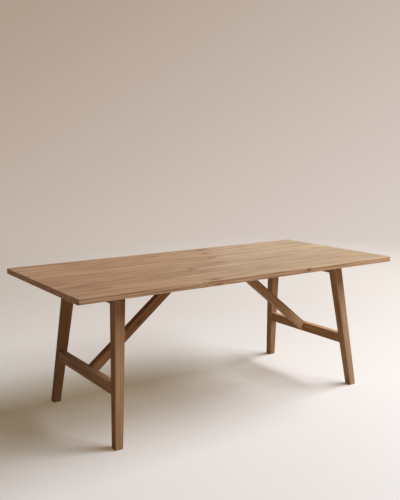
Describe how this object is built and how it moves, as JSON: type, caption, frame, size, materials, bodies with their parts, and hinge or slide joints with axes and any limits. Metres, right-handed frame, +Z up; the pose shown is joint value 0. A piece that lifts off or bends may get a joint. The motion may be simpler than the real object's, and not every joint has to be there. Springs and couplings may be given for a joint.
{
  "type": "folding trestle table",
  "caption": "Rectangular wooden table whose leaning, splayed trestles and staggered diagonal braces fold flat under a top of edge-glued boards.",
  "frame": {"origin": "on the floor, under the middle of the top", "axes": "+X along the length towards the right trestle, -Y the front, +Z up"},
  "size_m": [2, 0.9, 0.76],
  "materials": {
    "top_wood": "oiled",
    "frame_wood": "oiled",
    "plated_steel": "zinc plated",
    "spacer_nylon": "matte",
    "magnet_nickel": "nickel plated"
  },
  "bodies": {
    "top": {"top_board_1": "top_wood", "top_board_2": "top_wood", "top_board_3": "top_wood", "top_board_4": "top_wood", "top_board_5": "top_wood", "top_board_6": "top_wood", "top_board_7": "top_wood", "right_rail": "frame_wood", "left_rail": "frame_wood", "rail_screws": "plated_steel", "pivot_bolts": "plated_steel", "pivot_washers": "plated_steel", "pivot_spacers": "spacer_nylon", "right_hinge_plate": "plated_steel", "left_hinge_plate": "plated_steel", "right_hinge_pin": "plated_steel", "left_hinge_pin": "plated_steel", "hinge_plate_screws": "plated_steel"},
    "right_trestle": {"right_front_leg": "frame_wood", "right_rear_leg": "frame_wood", "right_stretcher": "frame_wood", "right_catch_magnet": "magnet_nickel"},
    "right_brace": {"right_brace": "frame_wood", "right_hinge_leaf": "plated_steel", "right_hinge_leaf_screws": "plated_steel", "right_strike": "plated_steel"},
    "left_trestle": {"left_front_leg": "frame_wood", "left_rear_leg": "frame_wood", "left_stretcher": "frame_wood", "left_catch_magnet": "magnet_nickel"},
    "left_brace": {"left_brace": "frame_wood", "left_hinge_leaf": "plated_steel", "left_hinge_leaf_screws": "plated_steel", "left_strike": "plated_steel"}
  },
  "joints": [
    {"name": "right_trestle_fold", "type": "hinge", "parent": "top", "child": "right_trestle", "pos_m": [0.71789, 0, 0.7], "axis": [0, 1, 0], "range_deg": [0, 89]},
    {"name": "left_trestle_fold", "type": "hinge", "parent": "top", "child": "left_trestle", "pos_m": [-0.71789, 0, 0.7], "axis": [0, -1, 0], "range_deg": [0, 89]},
    {"name": "right_brace_swing", "type": "hinge", "parent": "top", "child": "right_brace", "pos_m": [0.13974, 0, 0.727], "axis": [0, 1, 0], "range_deg": [0, 141.2]},
    {"name": "left_brace_swing", "type": "hinge", "parent": "top", "child": "left_brace", "pos_m": [-0.13974, 0, 0.727], "axis": [0, -1, 0], "range_deg": [0, 141.2]}
  ],
  "couplings": [
    {"joint": "right_brace_swing", "follows": "right_trestle_fold", "ratio": 1.5865},
    {"joint": "left_brace_swing", "follows": "left_trestle_fold", "ratio": 1.5865}
  ]
}
